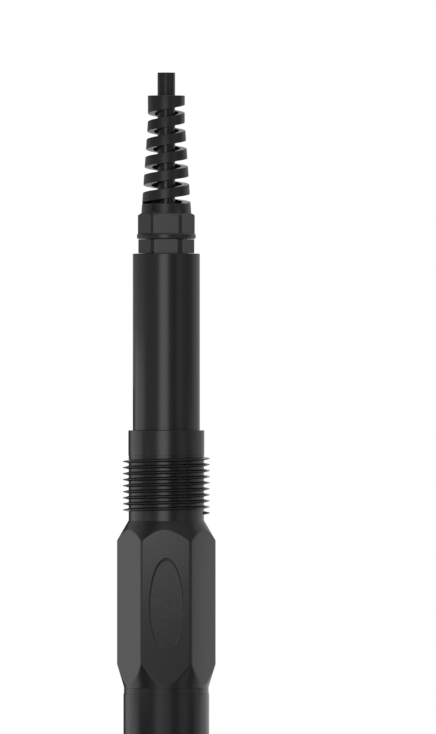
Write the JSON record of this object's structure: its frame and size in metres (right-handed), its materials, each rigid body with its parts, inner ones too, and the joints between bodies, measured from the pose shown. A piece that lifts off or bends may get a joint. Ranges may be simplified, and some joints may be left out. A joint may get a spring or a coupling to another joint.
{
  "type": "lead ion sensor",
  "caption": "Upright cabled ion sensor: spiral cable gland, plain tube, threaded collar, hex grip with an oval recess, round barrel and a slotted guard round three probes.",
  "frame": {"origin": "on the sensor's axis, on the plane where the thread's neck meets the hex grip", "axes": "+Z along the axis towards the cable, -Y out of the grip flat that has the oval recess, +X to the right seen from that side"},
  "size_m": [0.0298, 0.026, 0.2963],
  "materials": {
    "black_body": "satin moulded black",
    "black_gland": "satin nylon, black",
    "black_cable": "matt cable jacket",
    "black_rubber": "soft matt",
    "red_core": "smooth insulation",
    "black_core": "smooth insulation",
    "green_core": "smooth insulation",
    "white_core": "smooth insulation",
    "grey_carrier": "turned grey plastic",
    "probe_resin": "smooth dark resin",
    "crystal": "polished dark crystal",
    "junction": "porous ceramic",
    "steel": "fine drawn",
    "board": "solder mask on glass laminate",
    "component": "moulded package",
    "terminal": "moulded green",
    "can": "bright can"
  },
  "bodies": {
    "root": {"cable_jacket": "black_cable", "cable_core_red": "red_core", "cable_core_green": "green_core", "cable_core_white": "white_core", "cable_core_black": "black_core", "gland_seal": "black_rubber", "gland_body": "black_gland", "gland_oring": "black_rubber", "rear_tube": "black_body", "tube_oring": "black_rubber", "grip_body": "black_body", "barrel_oring": "black_rubber", "sensor_barrel": "black_body", "electrode_carrier": "grey_carrier", "carrier_oring": "black_rubber", "sensor_guard": "black_body", "lead_electrode": "probe_resin", "lead_membrane": "crystal", "lead_wire": "white_core", "reference_electrode": "probe_resin", "reference_junction": "junction", "reference_wire": "black_core", "temperature_probe": "steel", "temperature_wire": "red_core", "circuit_board": "board", "cable_terminal": "terminal", "probe_socket": "component", "controller_chip": "component", "amplifier_chip": "component", "bus_chip": "component", "isolating_converter": "component", "clock_crystal": "can", "supply_capacitor": "can", "filter_capacitor": "can"},
    "gland_washer": {"gland_washer": "black_gland"},
    "gland_nut": {"gland_spiral_nut": "black_gland"}
  },
  "joints": [
    {"name": "washer_slide", "type": "slide", "parent": "root", "child": "gland_washer", "axis": [0, 0, 1], "range_m": [0, 0.0045]},
    {"name": "nut_turn", "type": "hinge", "parent": "gland_washer", "child": "gland_nut", "pos_m": [0, 0, 0.088], "axis": [0, 0, 1], "range_deg": [0, 1080]}
  ],
  "couplings": [
    {"joint": "washer_slide", "follows": "nut_turn", "m_per_rad": 0.0002387}
  ]
}
